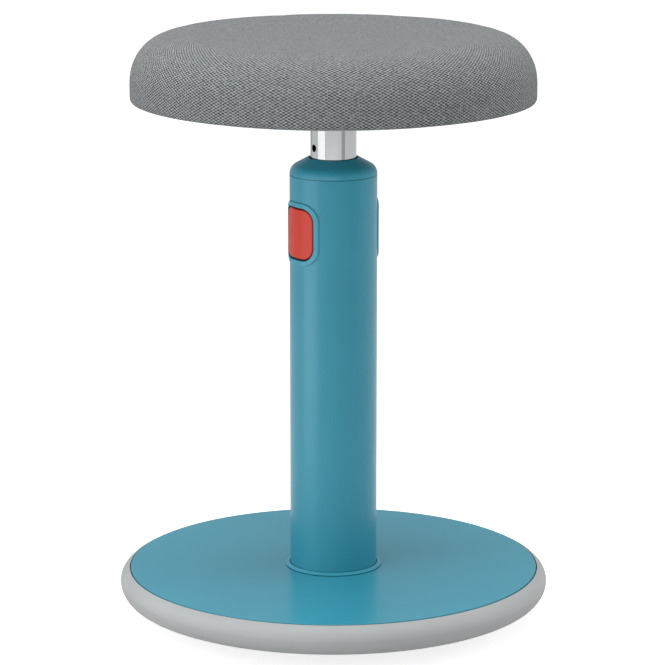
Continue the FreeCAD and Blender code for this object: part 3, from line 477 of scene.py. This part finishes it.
rows_round = 236
yarn_pairs = (2 * math.pi * pad_radius / rows_round, 0.0025)
yarn_wander = (0.0014, 0.0009, 0.0)
yarn_depth = 0.00035
dark_yarn = (0.050, 0.057, 0.061, 1.0)
light_yarn = (0.325, 0.345, 0.350, 1.0)
seat_cloth, nodes, links, shader = new_material("seat_cloth")
cloth_at = nodes.new("ShaderNodeUVMap")
cloth_at.uv_map = "cloth"
wander_at = nodes.new("ShaderNodeTexCoord")
wander = nodes.new("ShaderNodeTexNoise")
wander.inputs["Scale"].default_value = 220.0
links.new(wander_at.outputs["Object"], wander.inputs["Vector"])
uneven_lay = nodes.new("ShaderNodeVectorMath")
uneven_lay.operation = "MULTIPLY_ADD"
uneven_lay.inputs[1].default_value = yarn_wander
links.new(wander.outputs["Color"], uneven_lay.inputs[0])
links.new(cloth_at.outputs["UV"], uneven_lay.inputs[2])
axes = nodes.new("ShaderNodeSeparateXYZ")
links.new(uneven_lay.outputs["Vector"], axes.inputs["Vector"])
waves = []
for axis, period in zip(("X", "Y"), yarn_pairs):
    phase = calculated(nodes, links, "MULTIPLY", axes.outputs[axis], 2 * math.pi / period)
    waves.append(calculated(nodes, links, "SINE", phase, 0.0))
crossing = calculated(nodes, links, "MULTIPLY", waves[0], waves[1])
fibres = object_noise(nodes, links, scale=2500.0, detail=2.0)
yarns_apart = object_noise(nodes, links, scale=450.0, detail=1.0)
fibre_tone = between(nodes, links, fibres, -0.16, 0.16)
yarn_luck = between(nodes, links, yarns_apart, -0.28, 0.28)
uneven = calculated(nodes, links, "ADD", fibre_tone, yarn_luck)
yarn_tone = nodes.new("ShaderNodeMapRange")
yarn_tone.inputs["From Min"].default_value = -0.45
yarn_tone.inputs["From Max"].default_value = 0.45
links.new(calculated(nodes, links, "ADD", crossing, uneven), yarn_tone.inputs["Value"])
yarns = nodes.new("ShaderNodeMix")
yarns.data_type = "RGBA"
yarns.inputs["A"].default_value = dark_yarn
yarns.inputs["B"].default_value = light_yarn
links.new(yarn_tone.outputs["Result"], yarns.inputs["Factor"])
links.new(yarns.outputs["Result"], shader.inputs["Base Color"])
shader.inputs["Roughness"].default_value = 0.9
shader.inputs["Specular IOR Level"].default_value = 0.2
shader.inputs["Sheen Weight"].default_value = 0.12
shader.inputs["Sheen Roughness"].default_value = 0.4
yarn_rise = calculated(nodes, links, "ABSOLUTE", crossing, 0.0)
fibre_rise = calculated(nodes, links, "MULTIPLY", fibres, 0.25)
relief = calculated(nodes, links, "ADD", yarn_rise, fibre_rise)
grained(nodes, links, shader, relief, yarn_depth)

start_inset = 0.0003
hem_lift = 0.0002
cover_outline = pad_outline(start_inset)
hem_outer = pad_radius - start_inset - lower_round
hem_width = hem_outer - (pad_radius - turned_in)
for i in range(hem_rings + 1):
    cover_outline.append((hem_outer - hem_width * i / hem_rings, seat_low.z + hem_lift))
cover = turned_piece("seat_pad_cloth", cover_outline, rounds, seat_cloth)
run = [0.0]
for (r0, z0), (r1, z1) in zip(cover_outline, cover_outline[1:]):
    run.append(run[-1] + math.hypot(r1 - r0, z1 - z0))


def along_cloth(r, z):
    """How far over the cloth the ring nearest to a point lies from the middle."""
    away = [math.hypot(r - ring_r, z - ring_z) for ring_r, ring_z in cover_outline]
    return run[away.index(min(away))]


lay = cover.data.uv_layers.new(name="cloth")
reach = [along_cloth(math.hypot(v.co.x, v.co.y), v.co.z) for v in cover.data.vertices]
panel_reach = run[panel_rings]
same_ring = 1e-6
for face in cover.data.polygons:
    on_panel = max(reach[i] for i in face.vertices) <= panel_reach + same_ring
    middle = math.atan2(face.center.y, face.center.x)
    for corner in face.loop_indices:
        held = cover.data.loops[corner].vertex_index
        at = cover.data.vertices[held].co
        turn = math.atan2(at.y, at.x)
        turn += 2 * math.pi * round((middle - turn) / (2 * math.pi))
        lay.data[corner].uv = (at.x, at.y) if on_panel else (turn * pad_radius, reach[held])

glued_reach = 0.110
held_reach = run[panel_rings + roll_rings + 1]
swell_force = 4.0
swell_frames = 20
swell_limit = 0.0030
held_cloth = cover.vertex_groups.new(name="held")
held_points = [i for i, s in enumerate(reach) if s < glued_reach or s > held_reach]
held_cloth.add(held_points, 1.0, "REPLACE")
swelling = cover.modifiers.new("swelling", "CLOTH")
swelling.settings.use_pressure = True
swelling.settings.uniform_pressure_force = swell_force
swelling.settings.effector_weights.gravity = 0.0
swelling.settings.vertex_group_mass = "held"
swelling.point_cache.frame_start = 1
swelling.point_cache.frame_end = swell_frames
for moment in range(1, swell_frames + 1):
    bpy.context.scene.frame_set(moment)
swollen = cover.evaluated_get(bpy.context.evaluated_depsgraph_get())
moves = [there.co - here.co for here, there in zip(cover.data.vertices, swollen.data.vertices)]
cover.modifiers.remove(swelling)
for v, move in zip(cover.data.vertices, moves):
    v.co += move * min(1.0, swell_limit / max(move.length, swell_limit))
bpy.context.scene.frame_set(1)

seam_dip = 0.0004
gather_depth = 0.0004
gathers_round = 37
deeper_round = 11
gathered_reach = run[-hem_rings - 1]
for v, s in zip(cover.data.vertices, reach):
    turn = math.atan2(v.co.y, v.co.x)
    if abs(s - panel_reach) < same_ring:
        v.co.z -= seam_dip
    if s > gathered_reach + same_ring:
        unlike = 0.6 + 0.4 * math.sin(deeper_round * turn + 1.0)
        v.co.z += gather_depth * math.sin(gathers_round * turn) * unlike
rounder = cover.modifiers.new("rounder", "SUBSURF")
rounder.levels = rounder.render_levels = 1
thick = cover.modifiers.new("thick", "SOLIDIFY")
thick.thickness = cloth_thickness
thick.offset = -1.0
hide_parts("seat_cover")
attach(cover, "seat")

# Seat foam. One moulded block of cream polyurethane foam, open-celled and a little yellowed. It sits
# on the board, laps over its edge and fills the cover.
board_low, board_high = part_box("seat_board")
foam_paint, nodes, links, shader = new_material("seat_foam_cream")
cells = nodes.new("ShaderNodeTexVoronoi")
cells.inputs["Scale"].default_value = 1400.0
cells_at = nodes.new("ShaderNodeTexCoord")
links.new(cells_at.outputs["Object"], cells.inputs["Vector"])
yellowed = object_noise(nodes, links, scale=9.0, detail=3.0)
old_foam = (0.66, 0.58, 0.38)
fresh_foam = (0.78, 0.73, 0.55)
links.new(tinted(nodes, links, yellowed, old_foam, fresh_foam), shader.inputs["Base Color"])
shader.inputs["Roughness"].default_value = 0.95
grained(nodes, links, shader, cells.outputs["Distance"], depth=0.0004)
foam_gap = 0.0006
foam_chamfer = 0.004
foam_lift = 0.0004
foam_rounds = 128
foam_outline = pad_outline(start_inset + cloth_thickness + foam_gap)
foam_side = foam_outline.pop()[0]
foam_outline += [
    (foam_side, board_low.z + foam_chamfer),
    (foam_side - foam_chamfer, board_low.z + foam_lift),
    (board_high.x, board_low.z + foam_lift),
    (board_high.x, board_high.z),
    (0.0, board_high.z),
]
foam = turned_piece("seat_pad_foam", foam_outline, foam_rounds, foam_paint)
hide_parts("seat_foam")
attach(foam, "seat")
